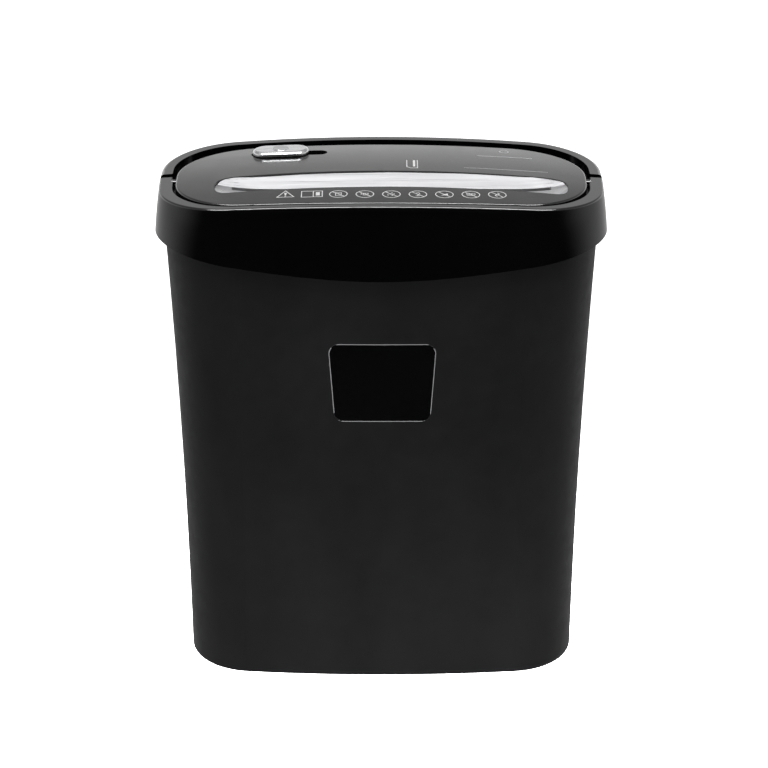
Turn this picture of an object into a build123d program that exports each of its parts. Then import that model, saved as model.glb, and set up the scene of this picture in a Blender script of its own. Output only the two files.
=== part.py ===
from build123d import *
import os
from math import acos, atan2, cos, degrees, hypot, pi, radians, sin, sqrt, tan

os.makedirs("parts", exist_ok=True)

# Paper shredder with a waste bin below and a lift-off shredding head on top.
# Origin: centre of the bin's underside. +Z up, the front faces -Y, +X to the right. Millimetres.

# ---- Waste bin
bin_height = 346.0
bin_wall = 2.2
bin_half_width = 142.8            # at the base
bin_half_depth = 54.9             # at the base
bin_width_gain = 12.1             # half-width gained at the reference height
bin_depth_gain = 20.6             # half-depth gained at the reference height
bin_reference = 335.0
bin_base_edge = 6.0
window_centre_x = 0.8
window_low, window_high = 212.6, 273.3
window_width_low, window_width_high = 68.6, 77.4
window_corner = 7.0
window_gap = 0.25
bin_levels = [0, 90, 180, 265, bin_height]
tab_x, tab_y = 40.0, 71.9         # ledge in the rear rim that works the interlock
tab_half_width, tab_depth, tab_height = 5.0, 4.6, 20.0

# ---- Head: outer form
head_half_width = 159.0           # at the rim
head_half_depth = 78.8
head_corner, head_long, head_end = 55.6, 1764.0, 481.0
head_low, head_high = 318.0, 388.0
flare_low = 4.2                   # outward offset of the skirt at its lowest section
flare_drop = 5.49                 # offset lost over the flare height
flare_height = 64.0
head_wall = 2.4
crown_top = 380.7                 # rim height at the middle
crown_radius = 1859.0             # side-to-side arch of the rim
rim_edge = 1.5
handle_edge = 3.0
smile_low, smile_mid, smile_end = 326.2, 334.8, 344.5   # lower skirt edge at the middle, near and at the ends
smile_mid_x, smile_end_x = 100.0, 165.0
head_levels = [head_low, 338, 358, 374, head_high]
boss_at = [(-124.0, -45.0), (-114.0, 53.0), (130.0, 38.0), (130.0, -38.0)]
boss_radius = 4.2
boss_join = 334.0
screw_radius = 1.6
screw_head_radius, screw_head = 3.2, 2.2
screw_reach = 12.0                # into the boss above the join
gland_x, gland_z = 92.0, 353.7
gland_radius, gland_bore, gland_flange = 4.6, 3.5, 7.0
gland_outer_y, gland_inner_y = 81.2, 71.0
vent_count, vent_first, vent_pitch = 9, -60.0, 7.0
vent_half, vent_low, vent_high = 1.4, 334.0, 352.0

# ---- Head: deck, plate and handle
deck_top = 361.0
deck_thickness = 2.5
panel_centre_y = -7.8
panel_half_width = 146.7
panel_half_depth = 63.8
panel_corner = 50.0
panel_rear_corner = 58.0
panel_skin = 2.5
panel_edge = 1.2
dome_apex = 383.4
dome_radius = 1000.0              # front-to-back arch of the plate
channel_front = -9.0              # the finger channel starts here and runs round the rear
front_gap = 0.9
groove_half_width = 149.3
handle_inner_width = 150.6
handle_inner_depth = 69.0
pivot_y, pivot_z = 9.5, 367.9
pivot_radius = 4.4
handle_front = 2.0
handle_pin_radius = 2.5
pin_head, pin_head_lip = 1.2, 1.5
pin_inner, pin_outer = 139.8, 156.2
pin_bore_end = pin_outer + 0.3
running = 0.05                    # clearance of parts that turn
bore_fit = 0.02                   # clearance of parts that are pressed or slid together

# ---- Slide switch
knob_x, knob_y = -73.0, 36.0
knob_length, knob_depth, knob_height = 41.0, 21.0, 3.2
knob_lift = 0.75                  # gap that lets the knob slide up the arched plate
knob_edge = 2.5
knob_travel = 12.0
button_radius, button_height = 5.8, 0.5
knob_slot_x, knob_slot_length, knob_slot_width = -66.9, 55.3, 11.0
stem_half = 2.5
switch_high = 372.5
switch_end, switch_half_depth = 11.0, 7.0

# ---- Paper entry
slot_centre_x = 7.2
slot_half_length = 113.6
slot_front, slot_rear = -28.0, -22.0
scoop_half_length = 125.4
scoop_level = 94.0                # the scoop's bottom is level this far from its middle
scoop_rise_radius = 140.0         # and then curves up with this radius
scoop_skin = 2.0
scoop_low = 374.2
throat_low, throat_high = 351.5, 371.0
throat_wall = 2.0
throat_x0 = slot_centre_x - slot_half_length
throat_x1 = slot_centre_x + slot_half_length
throat_gap = 0.3
scoop_shoulder, scoop_front_end = 106.0, 114.0
scoop_tip_y = -32.5
scoop_rear_y, scoop_rear_shoulder = -9.0, -13.5
scoop_front_y, scoop_front_shoulder = -41.8, -45.5
scoop_rear_slope, scoop_front_slope = 0.62, 0.1
collar_low = 368.0
sensor_x, sensor_slit = slot_centre_x, 2.6
sensor_notch_y = -15.5            # the lever swings down through a notch in the deck
sensor_axis = (-14.5, 367.0)
sensor_tip_y = -27.0
sensor_hub, sensor_pin_radius, lever_half = 3.0, 1.0, 1.5

# ---- Base cover, which hangs inside the bin mouth
cover_half_width, cover_half_depth, cover_corner = 149.0, 68.6, 50.0
cover_wall = 2.2
cover_low = 299.0
cover_floor = 2.5
flange_low = bin_height + 0.3
flange_thickness = 2.5
flange_half_width, flange_half_depth = 156.6, 76.6

# ---- Shredding mechanism, all axes along X
nip_y = -25.0
axis_spread = 16.0
axis_z = 332.0
front_axis = (nip_y - axis_spread, axis_z)
rear_axis = (nip_y + axis_spread, axis_z)
cutter_radius = 17.5
spacer_radius = 13.2
disc_width = 4.0
disc_pitch = 8.4
disc_count = 26
disc_notches = 7
disc_twist = 11.0
cutting_start = -102.0
cutting_end = cutting_start + disc_pitch * (disc_count - 0.5) + disc_width
journal_radius = 6.0
plate_thickness = 2.5
plate_left = -106.5
plate_right = 118.5
motor_axis = (38.0, 332.0)
idler_axis = (19.1, 321.5)
motor_radius = 22.0
rotor_radius = 2.5
idler_pin_radius = 3.0
tie_radius = 3.0
tie_rods_at = [(-54.0, 351.0), (-53.0, 313.5), (14.0, 350.0), (12.0, 312.0)]
finger_width = 3.6
frame_low, frame_high = cover_low + cover_floor, 356.0
bush_radius, bush_reach = 9.0, 0.5
clip_width, clip_radius = 1.2, 9.0
exit_x0, exit_x1 = cutting_start - 1.0, cutting_end + 1.0
exit_y0, exit_y1 = -50.0, 4.0

# ---- Gear train: cutters, drive gear, idler and motor pinion
sync_module, sync_teeth = 2.0, 16
drive_module, drive_teeth, idler_small_teeth = 1.25, 36, 12
fine_module, idler_large_teeth, pinion_teeth = 0.8, 44, 10
sync_x0, sync_x1 = -115.5, -107.7
drive_x0, drive_x1 = -125.5, -117.5
small_x0, small_x1 = -126.0, -116.0
large_x0, large_x1 = -131.0, -126.0
front_end, rear_end, right_end = -118.5, -128.0, 124.5
gear_cover_x0, gear_cover_x1 = -135.5, -133.0

# ---- Motor
motor_x0, motor_x1 = -103.8, -44.0
cap_x1 = motor_x1 + 12.0
can_wall = 2.0
motor_screw_offset, motor_screw_radius = 15.0, 2.0
armature_x0, armature_x1, armature_radius, armature_slots = -96.0, -58.0, 14.0, 9
magnet_gap_half = 8.0
terminal_offset = 15.0

# ---- Circuit board
board_x0, board_x1, board_y0, board_y1 = 2.0, 86.0, 20.0, 56.0
board_low, board_thickness = 311.0, 1.6
board_top = board_low + board_thickness
board_hole_inset = 4.0
standoff_radius = 3.0


def oval_arcs(half_width, half_depth, corner, long_radius, end_radius):
    """Tangent points of a rounded oval of eight arcs, and the middle of its corner arc."""
    long_y = half_depth - long_radius
    end_x = half_width - end_radius
    span = hypot(end_x, long_y)
    reach_long = long_radius - corner
    reach_end = end_radius - corner
    along = (span**2 + reach_long**2 - reach_end**2) / (2 * span)
    aside = sqrt(reach_long**2 - along**2)
    ux, uy = end_x / span, -long_y / span
    cx = along * ux + aside * uy
    cy = long_y + along * uy - aside * ux
    on_long = (cx * long_radius / reach_long, long_y + (cy - long_y) * long_radius / reach_long)
    on_end = (end_x + (cx - end_x) * end_radius / reach_end, cy * end_radius / reach_end)
    dx, dy = on_long[0] + on_end[0] - 2 * cx, on_long[1] + on_end[1] - 2 * cy
    middle = (cx + corner * dx / hypot(dx, dy), cy + corner * dy / hypot(dx, dy))
    return on_long, middle, on_end


def rounded_oval(half_width, half_depth, corner, long_radius, end_radius, centre_y=0.0, rear_corner=None):
    """Rounded oval face of eight tangent arcs. The two rear corners may have a radius of their own."""
    front = oval_arcs(half_width, half_depth, corner, long_radius, end_radius)
    rear = oval_arcs(half_width, half_depth, rear_corner or corner, long_radius, end_radius)

    def at(k, side_x, side_y):
        point = (front if side_y < 0 else rear)[k]
        return (side_x * point[0], centre_y + side_y * point[1])

    with BuildSketch() as oval:
        with BuildLine():
            for side_x, side_y in ((1, -1), (1, 1), (-1, 1), (-1, -1)):
                ThreePointArc(at(0, side_x, side_y), at(1, side_x, side_y), at(2, side_x, side_y))
            for side_x in (1, -1):
                ThreePointArc(at(2, side_x, -1), (side_x * half_width, centre_y), at(2, side_x, 1))
            for side_y in (1, -1):
                ThreePointArc(at(0, -1, side_y), (0, centre_y + side_y * half_depth), at(0, 1, side_y))
        make_face()
    return oval.sketch


def bin_outline(z, inset):
    """Outline of the bin at height z, moved inwards by inset."""
    t = z / bin_reference
    blend = 0.35 * t + 0.65 * t * t
    return rounded_oval(
        bin_half_width + bin_width_gain * blend - inset,
        bin_half_depth + bin_depth_gain * blend - inset,
        48 + 7 * blend - inset,
        900 + 860 * blend - inset,
        300 + 180 * blend - inset,
    )


def head_outline(z, inset):
    """Outline of the head's skirt at height z, moved inwards by inset."""
    out = flare_low - flare_drop * ((z - head_low) / flare_height) ** 2 - inset
    return rounded_oval(
        head_half_width + out, head_half_depth + out, head_corner + out, head_long + out, head_end + out
    )


def shaft_plane(x, axis, toward=None):
    """Plane across the X direction, with its origin on an axis given as (y, z)."""
    x_dir = (0, 1, 0) if toward is None else (0, toward[0] - axis[0], toward[1] - axis[1])
    return Plane(origin=(x, axis[0], axis[1]), x_dir=x_dir, z_dir=(1, 0, 0))


def bar_x(x0, x1, radius, axis, mode=Mode.ADD):
    """Adds or cuts a round bar along X in the part that is being built."""
    with Locations(shaft_plane(x0, axis)):
        Cylinder(radius, x1 - x0, align=(Align.CENTER, Align.CENTER, Align.MIN), mode=mode)


def block(x0, x1, y0, y1, z0, z1, mode=Mode.ADD):
    """Adds or cuts a box between opposite corners in the part that is being built."""
    with Locations(((x0 + x1) / 2, (y0 + y1) / 2, (z0 + z1) / 2)):
        Box(x1 - x0, y1 - y0, z1 - z0, mode=mode)


def post(x, y, z0, z1, radius, mode=Mode.ADD):
    """Adds or cuts an upright round post in the part that is being built."""
    with Locations((x, y, z0)):
        Cylinder(radius, z1 - z0, align=(Align.CENTER, Align.CENTER, Align.MIN), mode=mode)


def save(part, label):
    """Labels a finished piece and writes it as one STEP file."""
    part.part.label = label
    export_step(part.part, f"parts/{label}.step")


# ---- Bin shell and window

with BuildPart() as bin_outer:
    for level in bin_levels:
        with BuildSketch(Plane.XY.offset(level)):
            add(bin_outline(level, 0))
    loft()
    fillet(bin_outer.faces().sort_by(Axis.Z)[0].edges(), bin_base_edge)

with BuildPart() as bin_inner:
    for level in [bin_wall + 0.3] + bin_levels[1:-1] + [bin_height + 4]:
        with BuildSketch(Plane.XY.offset(level)):
            add(bin_outline(level, bin_wall))
    loft()
    fillet(bin_inner.faces().sort_by(Axis.Z)[0].edges(), bin_base_edge - bin_wall)


def window_outline(gap):
    """Trapezium with rounded corners, made smaller all round by gap."""
    half_low = window_width_low / 2 - gap
    half_high = window_width_high / 2 - gap
    with BuildSketch() as outline:
        with BuildLine():
            Polyline(
                (window_centre_x - half_low, window_low + gap),
                (window_centre_x + half_low, window_low + gap),
                (window_centre_x + half_high, window_high - gap),
                (window_centre_x - half_high, window_high - gap),
                close=True,
            )
        make_face()
        fillet(outline.vertices(), window_corner - gap)
    return outline.sketch


front_plane = Plane(origin=(0, 0, 0), x_dir=(1, 0, 0), z_dir=(0, -1, 0))

with BuildPart() as bin_shell:
    add(bin_outer.part)
    add(bin_inner.part, mode=Mode.SUBTRACT)
    with BuildSketch(front_plane):
        add(window_outline(0))
    extrude(amount=120, mode=Mode.SUBTRACT)
    # ledge inside the rear rim that works the interlock of the head
    with BuildSketch(Plane.YZ.offset(tab_x - tab_half_width)):
        with BuildLine():
            Polyline(
                (tab_y - tab_depth / 2, bin_height),
                (tab_y + tab_depth / 2, bin_height),
                (tab_y + tab_depth / 2, bin_height - tab_height),
                close=True,
            )
        make_face()
    extrude(amount=2 * tab_half_width)
save(bin_shell, "bin_shell")

with BuildPart() as bin_window:
    add(bin_outer.part)
    add(bin_inner.part, mode=Mode.SUBTRACT)
    with BuildSketch(front_plane):
        add(window_outline(window_gap))
    extrude(amount=120, mode=Mode.INTERSECT)
save(bin_window, "bin_window")

# ---- Shared forms of the head

with BuildPart() as skirt_form:
    for level in head_levels:
        with BuildSketch(Plane.XY.offset(level)):
            add(head_outline(level, 0))
    loft()

with BuildPart() as skirt_inside:
    for level in head_levels:
        with BuildSketch(Plane.XY.offset(level)):
            add(head_outline(level, head_wall))
    loft()
    block(-200, 200, -100, 100, deck_top - deck_thickness, 400, mode=Mode.SUBTRACT)


def crown_form(drop):
    """Block whose top is the side-to-side arch of the rim, lowered by drop."""
    reach = 175.0
    sag = crown_radius - sqrt(crown_radius**2 - reach**2)
    top = crown_top - drop
    with BuildPart() as form:
        with BuildSketch(Plane.XZ.offset(-100)):
            with BuildLine():
                ThreePointArc((-reach, top - sag), (0, top), (reach, top - sag))
                Polyline((reach, top - sag), (reach, 290), (-reach, 290), (-reach, top - sag))
            make_face()
        extrude(amount=200)
    return form.part


def dome_form(raise_by):
    """Block whose top is the plate's dome, raised by raise_by."""
    reach = 90.0
    sag = dome_radius - sqrt(dome_radius**2 - reach**2)
    with BuildPart() as form:
        for x in (-170, -85, 0, 85, 170):
            top = dome_apex + raise_by - x**2 / (2 * crown_radius)
            with BuildSketch(Plane.YZ.offset(x)):
                with BuildLine():
                    ThreePointArc(
                        (panel_centre_y - reach, top - sag),
                        (panel_centre_y, top),
                        (panel_centre_y + reach, top - sag),
                    )
                    Polyline(
                        (panel_centre_y + reach, top - sag),
                        (panel_centre_y + reach, 300),
                        (panel_centre_y - reach, 300),
                        (panel_centre_y - reach, top - sag),
                    )
                make_face()
        loft()
    return form.part


rim_crown = crown_form(0)
plate_dome = dome_form(0)
plate_underside = dome_form(-panel_skin)


def channel_outline():
    """Outline of the handle's inner face, the outer side of the finger channel."""
    return rounded_oval(handle_inner_width, handle_inner_depth, 48, 1750, 473)


def groove_outline():
    """Outline of the housing's opening in front of the finger channel."""
    return rounded_oval(
        groove_half_width, panel_half_depth + front_gap, panel_corner + front_gap, 1750, 460, panel_centre_y
    )


def panel_outline(inset):
    """Outline of the control panel, moved inwards by inset."""
    return rounded_oval(
        panel_half_width - inset, panel_half_depth - inset, panel_corner - inset, 1750 - inset, 460 - inset,
        panel_centre_y, panel_rear_corner - inset,
    )


# ---- Head housing: skirt, deck and front rim

with BuildPart() as head_housing:
    add(skirt_form.part)
    add(rim_crown, mode=Mode.INTERSECT)
    fillet(head_housing.faces().sort_by(Axis.Z)[-1].edges(), rim_edge)
    add(skirt_inside.part, mode=Mode.SUBTRACT)
    # opening above the deck: recess of the plate and the finger channel
    with BuildSketch(Plane.XY.offset(deck_top)):
        add(groove_outline())
    extrude(amount=40, mode=Mode.SUBTRACT)
    with BuildSketch(Plane.XY.offset(deck_top)):
        add(channel_outline())
        with Locations((0, channel_front - 100)):
            Rectangle(400, 200, mode=Mode.SUBTRACT)
    extrude(amount=40, mode=Mode.SUBTRACT)
    # the rear half of the rim is the carry handle
    block(-200, 200, handle_front, 100, deck_top, 400, mode=Mode.SUBTRACT)
    # lower edge of the skirt
    with BuildSketch(Plane.XZ.offset(-100)):
        with BuildLine():
            Spline(
                (-smile_end_x, smile_end),
                (-smile_mid_x, smile_mid),
                (0, smile_low),
                (smile_mid_x, smile_mid),
                (smile_end_x, smile_end),
            )
            Polyline(
                (smile_end_x, smile_end), (smile_end_x, head_low - 8), (-smile_end_x, head_low - 8),
                (-smile_end_x, smile_end),
            )
        make_face()
    extrude(amount=200, mode=Mode.SUBTRACT)
    # throat opening in the deck, with a notch for the paper sensor's lever
    opening = throat_wall + throat_gap
    block(
        throat_x0 - opening, throat_x1 + opening, slot_front - opening, slot_rear + opening,
        deck_top - 5, deck_top + 1, mode=Mode.SUBTRACT,
    )
    block(
        sensor_x - sensor_slit, sensor_x + sensor_slit, slot_rear, sensor_notch_y, deck_top - 5, deck_top + 1,
        mode=Mode.SUBTRACT,
    )
    # screw bosses below the deck
    for x, y in boss_at:
        post(x, y, boss_join, deck_top - deck_thickness, boss_radius)
        post(x, y, boss_join, deck_top - deck_thickness - 4, screw_radius, mode=Mode.SUBTRACT)
    # cord gland hole and vents in the rear wall
    with BuildSketch(Plane.XZ.offset(-60)):
        with Locations((gland_x, gland_z)):
            Circle(gland_radius + 0.1)
    extrude(amount=-40, mode=Mode.SUBTRACT)
    with BuildSketch(Plane.XZ.offset(-60)):
        for i in range(vent_count):
            with Locations((vent_first + i * vent_pitch, (vent_low + vent_high) / 2)):
                SlotOverall(vent_high - vent_low, 2 * vent_half, rotation=90)
    extrude(amount=-40, mode=Mode.SUBTRACT)
save(head_housing, "head_housing")

# ---- Carry handle: the rear half of the rim, turning on two pins

with BuildPart() as handle_form:
    add(skirt_form.part)
    add(rim_crown, mode=Mode.INTERSECT)
    fillet(handle_form.faces().sort_by(Axis.Z)[-1].edges(), handle_edge)
    with BuildSketch(Plane.XY.offset(head_low)):
        add(channel_outline())
    extrude(amount=80, mode=Mode.SUBTRACT)

with BuildPart() as handle_ends:
    add(handle_form.part)
    with BuildSketch(shaft_plane(-200, (pivot_y, pivot_z))):
        Circle(pivot_radius)
    extrude(amount=400, mode=Mode.INTERSECT)

with BuildPart() as carry_handle:
    add(handle_form.part)
    block(-200, 200, pivot_y, 100, pivot_z - pivot_radius, 400, mode=Mode.INTERSECT)
    add(handle_ends.part)
    bar_x(-pin_bore_end, pin_bore_end, handle_pin_radius, (pivot_y, pivot_z), mode=Mode.SUBTRACT)
save(carry_handle, "carry_handle")

with BuildPart() as handle_pins:
    for side in (-1, 1):
        start, end = sorted((side * pin_inner, side * pin_outer))
        bar_x(start, end, handle_pin_radius - running, (pivot_y, pivot_z))
        start, end = sorted((side * pin_inner, side * (pin_inner + pin_head)))
        bar_x(start, end, handle_pin_radius + pin_head_lip, (pivot_y, pivot_z))
save(handle_pins, "handle_pins")

# ---- Control panel: domed plate with a skirt that stands on the deck


def scoop_outline(inset):
    """Lens outline of the paper entry: arched at the rear, slightly hollow in front, round tips."""
    centre = slot_centre_x
    tip = scoop_half_length - inset
    rear = (scoop_shoulder, scoop_rear_shoulder - inset)
    front = (scoop_front_end, scoop_front_shoulder + inset)
    with BuildSketch() as lens:
        with BuildLine():
            ThreePointArc(
                (centre - rear[0], rear[1]), (centre, scoop_rear_y - inset), (centre + rear[0], rear[1])
            )
            ThreePointArc(
                (centre - front[0], front[1]), (centre, scoop_front_y + inset), (centre + front[0], front[1])
            )
            for side in (-1, 1):
                Spline(
                    (centre + side * rear[0], rear[1]),
                    (centre + side * tip, scoop_tip_y),
                    (centre + side * front[0], front[1]),
                    tangents=((side, -0.1), (-side, 0.12)),
                )
        make_face()
    return lens.sketch


with BuildPart() as panel_form:
    with BuildSketch(Plane.XY.offset(deck_top)):
        add(panel_outline(0))
    extrude(amount=30)
    add(plate_dome, mode=Mode.INTERSECT)
    fillet(panel_form.faces().sort_by(Axis.Z)[-1].edges(), panel_edge)

with BuildPart() as panel_hollow:
    with BuildSketch(Plane.XY.offset(deck_top)):
        add(panel_outline(panel_skin))
        add(scoop_outline(-2.2), mode=Mode.SUBTRACT)
    extrude(amount=30)
    add(plate_underside, mode=Mode.INTERSECT)

with BuildPart() as panel_shaft:
    with BuildSketch(Plane.XY.offset(deck_top - 1)):
        add(scoop_outline(-2.4))
    extrude(amount=collar_low - deck_top + 1)

with BuildPart() as control_panel:
    add(panel_form.part)
    with BuildSketch(Plane.XY.offset(deck_top - 2)):
        add(scoop_outline(0))
    extrude(amount=42, mode=Mode.SUBTRACT)
    add(panel_hollow.part, mode=Mode.SUBTRACT)
    add(panel_shaft.part, mode=Mode.SUBTRACT)
    # slot of the slide switch
    with BuildSketch(Plane.XY.offset(switch_high)):
        with Locations((knob_slot_x, knob_y)):
            SlotOverall(knob_slot_length, knob_slot_width)
    extrude(amount=20, mode=Mode.SUBTRACT)
    # holes of the handle's pins
    bar_x(-200, 200, handle_pin_radius, (pivot_y, pivot_z), mode=Mode.SUBTRACT)
save(control_panel, "control_panel")

# ---- Slot insert: thin scoop that leads the paper down to the entry


def scoop_form(lower_by):
    """Space above the scoop's surface, level in the middle and running out upwards at both ends."""
    reach = 40.0
    top = 400.0
    with BuildPart() as form:
        for x in (-140, -126, -113, -100, -60, 0, 60, 100, 113, 126, 140):
            low = scoop_low - lower_by + max(0, abs(x) - scoop_level) ** 2 / (2 * scoop_rise_radius)
            with BuildSketch(Plane.YZ.offset(slot_centre_x + x)):
                with BuildLine():
                    Polyline(
                        (slot_rear, low),
                        (slot_rear + reach, low + reach * scoop_rear_slope),
                        (slot_rear + reach, top + 20),
                        (slot_front - reach, top + 20),
                        (slot_front - reach, low + reach * scoop_front_slope),
                        (slot_front, low),
                        close=True,
                    )
                make_face()
        loft()
    return form.part


scoop_space = scoop_form(0)
scoop_space_low = scoop_form(scoop_skin)
insert_top = dome_form(-0.5)

with BuildPart() as slot_insert:
    with BuildSketch(Plane.XY.offset(365)):
        add(scoop_outline(0.25))
    extrude(amount=30)
    add(insert_top, mode=Mode.INTERSECT)
    add(scoop_space_low, mode=Mode.INTERSECT)
    add(scoop_space, mode=Mode.SUBTRACT)
    block(
        slot_centre_x - slot_half_length, slot_centre_x + slot_half_length, slot_front, slot_rear, 360, 400,
        mode=Mode.SUBTRACT,
    )
save(slot_insert, "slot_insert")

# ---- Throat guide: flat chute from the entry to the cutters

with BuildPart() as throat_guide:
    block(
        throat_x0 - throat_wall, throat_x1 + throat_wall, slot_front - throat_wall, slot_rear + throat_wall,
        throat_low, throat_high,
    )
    # flange on the deck
    block(throat_x0 - 8, throat_x1 + 8, slot_front - 7, slot_rear + 4, deck_top, deck_top + 2)
    block(throat_x0, throat_x1, slot_front, slot_rear, throat_low - 1, throat_high + 1, mode=Mode.SUBTRACT)
    # slit for the paper sensor's lever
    block(
        sensor_x - sensor_slit, sensor_x + sensor_slit, slot_rear - 1, slot_rear + 6, throat_low + 2,
        throat_high - 1.5, mode=Mode.SUBTRACT,
    )
save(throat_guide, "throat_guide")

# ---- Base cover: tray below the mechanism, hanging inside the bin mouth


def cover_outline(inset):
    """Outline of the base cover's wall, moved inwards by inset."""
    return rounded_oval(
        cover_half_width - inset, cover_half_depth - inset, cover_corner - inset, 1750 - inset, 470 - inset
    )


with BuildPart() as base_cover:
    with BuildSketch(Plane.XY.offset(cover_low)):
        add(cover_outline(0))
    extrude(amount=flange_low - cover_low)
    with BuildSketch(Plane.XY.offset(flange_low)):
        add(rounded_oval(flange_half_width, flange_half_depth, 54, 1755, 475))
    extrude(amount=flange_thickness)
    with BuildSketch(Plane.XY.offset(cover_low + cover_floor)):
        add(cover_outline(cover_wall))
    extrude(amount=100, mode=Mode.SUBTRACT)
    block(exit_x0, exit_x1, exit_y0, exit_y1, cover_low - 1, cover_low + cover_floor + 1, mode=Mode.SUBTRACT)
    for x, y in boss_at:
        post(x, y, cover_low, boss_join, boss_radius)
        post(x, y, cover_low - 1, boss_join + 1, screw_radius + 0.1, mode=Mode.SUBTRACT)
        post(x, y, cover_low - 1, cover_low + screw_head + 0.1, screw_head_radius + 0.2, mode=Mode.SUBTRACT)
    # hole of the interlock plunger
    post(tab_x, tab_y, flange_low - 1, flange_low + 5, 2.1, mode=Mode.SUBTRACT)
save(base_cover, "base_cover")

with BuildPart() as housing_screws:
    for x, y in boss_at:
        post(x, y, cover_low, cover_low + screw_head, screw_head_radius)
        post(x, y, cover_low, boss_join + screw_reach, screw_radius)
save(housing_screws, "housing_screws")

# ---- Gears


def gear_outline(module, teeth, phase, addendum=0.95, dedendum=1.25, slack=0.05):
    """Involute gear face with a tooth pointing at the angle phase (degrees)."""
    pressure = radians(20)
    pitch_radius = module * teeth / 2
    base = pitch_radius * cos(pressure)
    tip = pitch_radius + addendum * module
    root = pitch_radius - dedendum * module
    half_tooth = (pi / 2 - slack) / teeth - slack * module / pitch_radius / 2

    def half_angle(radius):
        turn = acos(min(1.0, base / max(radius, base)))
        return half_tooth + (tan(pressure) - pressure) - (tan(turn) - turn)

    start = max(base, root)
    steps = [start + (tip - start) * k / 4 for k in range(5)]
    flank = [(root, half_angle(start))] + [(radius, half_angle(radius)) for radius in steps]
    if root >= base:
        flank = flank[1:]
    points = []
    for i in range(teeth):
        middle = radians(phase) + 2 * pi * i / teeth
        for radius, angle in flank:
            points.append((radius * cos(middle - angle), radius * sin(middle - angle)))
        for radius, angle in reversed(flank):
            points.append((radius * cos(middle + angle), radius * sin(middle + angle)))
    with BuildSketch() as gear:
        with BuildLine():
            Polyline(*points, close=True)
        make_face()
    return gear.sketch


def gear_x(x0, x1, axis, outline):
    """Adds a gear between two X positions to the part that is being built."""
    with BuildSketch(shaft_plane(x0, axis)) as face:
        add(outline)
    extrude(face.sketch, amount=x1 - x0)


def bearing_of(start, end):
    """Angle in degrees of the direction from one axis to another, both given as (y, z)."""
    return degrees(atan2(end[1] - start[1], end[0] - start[0]))


front_to_rear = bearing_of(front_axis, rear_axis)
rear_to_idler = bearing_of(rear_axis, idler_axis)
idler_to_motor = bearing_of(idler_axis, motor_axis)


def mating_phase(bearing, teeth):
    """Phase that puts a gap of the driven gear where the other gear's tooth points."""
    return bearing + 180 + 180 / teeth


def cutter(axis, first_disc, left_end):
    """One-piece cutter shaft: journals, spacers and notched discs, each turned a little further."""
    with BuildPart() as shaft:
        bar_x(left_end, right_end, journal_radius, axis)
        bar_x(cutting_start, cutting_end, spacer_radius, axis)
        for i in range(disc_count):
            x0 = first_disc + i * disc_pitch
            with BuildSketch(shaft_plane(x0, axis)) as disc:
                Circle(cutter_radius)
                with Locations(Rotation(0, 0, i * disc_twist)):
                    with PolarLocations(cutter_radius, disc_notches):
                        Rectangle(3.4, 2.2, rotation=20, mode=Mode.SUBTRACT)
            extrude(disc.sketch, amount=disc_width)
    return shaft


front_cutter = cutter(front_axis, cutting_start, front_end)
save(front_cutter, "front_cutter")
rear_cutter = cutter(rear_axis, cutting_start + disc_pitch / 2, rear_end)
save(rear_cutter, "rear_cutter")

with BuildPart() as front_sync_gear:
    gear_x(sync_x0, sync_x1, front_axis, gear_outline(sync_module, sync_teeth, front_to_rear))
    bar_x(sync_x0 - 1, sync_x1 + 1, journal_radius + bore_fit, front_axis, mode=Mode.SUBTRACT)
save(front_sync_gear, "front_sync_gear")

with BuildPart() as rear_sync_gear:
    gear_x(
        sync_x0, sync_x1, rear_axis,
        gear_outline(sync_module, sync_teeth, mating_phase(front_to_rear, sync_teeth)),
    )
    bar_x(sync_x0 - 1, sync_x1 + 1, journal_radius + bore_fit, rear_axis, mode=Mode.SUBTRACT)
save(rear_sync_gear, "rear_sync_gear")

with BuildPart() as drive_gear:
    gear_x(drive_x0, drive_x1, rear_axis, gear_outline(drive_module, drive_teeth, rear_to_idler))
    bar_x(drive_x0 - 1, drive_x1 + 1, journal_radius + bore_fit, rear_axis, mode=Mode.SUBTRACT)
    # lightening holes
    with Locations(shaft_plane((drive_x0 + drive_x1) / 2, rear_axis)):
        with PolarLocations(14, 6):
            Cylinder(3.2, 20, mode=Mode.SUBTRACT)
save(drive_gear, "drive_gear")

with BuildPart() as idler_gear:
    gear_x(
        small_x0, small_x1, idler_axis,
        gear_outline(drive_module, idler_small_teeth, mating_phase(rear_to_idler, idler_small_teeth)),
    )
    gear_x(large_x0, large_x1, idler_axis, gear_outline(fine_module, idler_large_teeth, idler_to_motor))
    bar_x(large_x0 - 1, small_x1 + 1, idler_pin_radius + running, idler_axis, mode=Mode.SUBTRACT)
save(idler_gear, "idler_gear")


def retaining_clip(x0, axis):
    """Split retaining ring at the end of a cutter shaft."""
    with BuildPart() as clip:
        bar_x(x0, x0 + clip_width, clip_radius, axis)
        bar_x(x0 - 1, x0 + clip_width + 1, journal_radius + bore_fit, axis, mode=Mode.SUBTRACT)
        block(
            x0 - 1, x0 + clip_width + 1, axis[0] - 2, axis[0] + 2, axis[1], axis[1] + 20,
            mode=Mode.SUBTRACT,
        )
    return clip


front_clip = retaining_clip(sync_x0 - clip_width - 0.05, front_axis)
save(front_clip, "front_shaft_clip")
rear_clip = retaining_clip(drive_x0 - clip_width - 0.05, rear_axis)
save(rear_clip, "rear_shaft_clip")

# ---- Frame plates, bushes, tie rods and stripper combs


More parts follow.
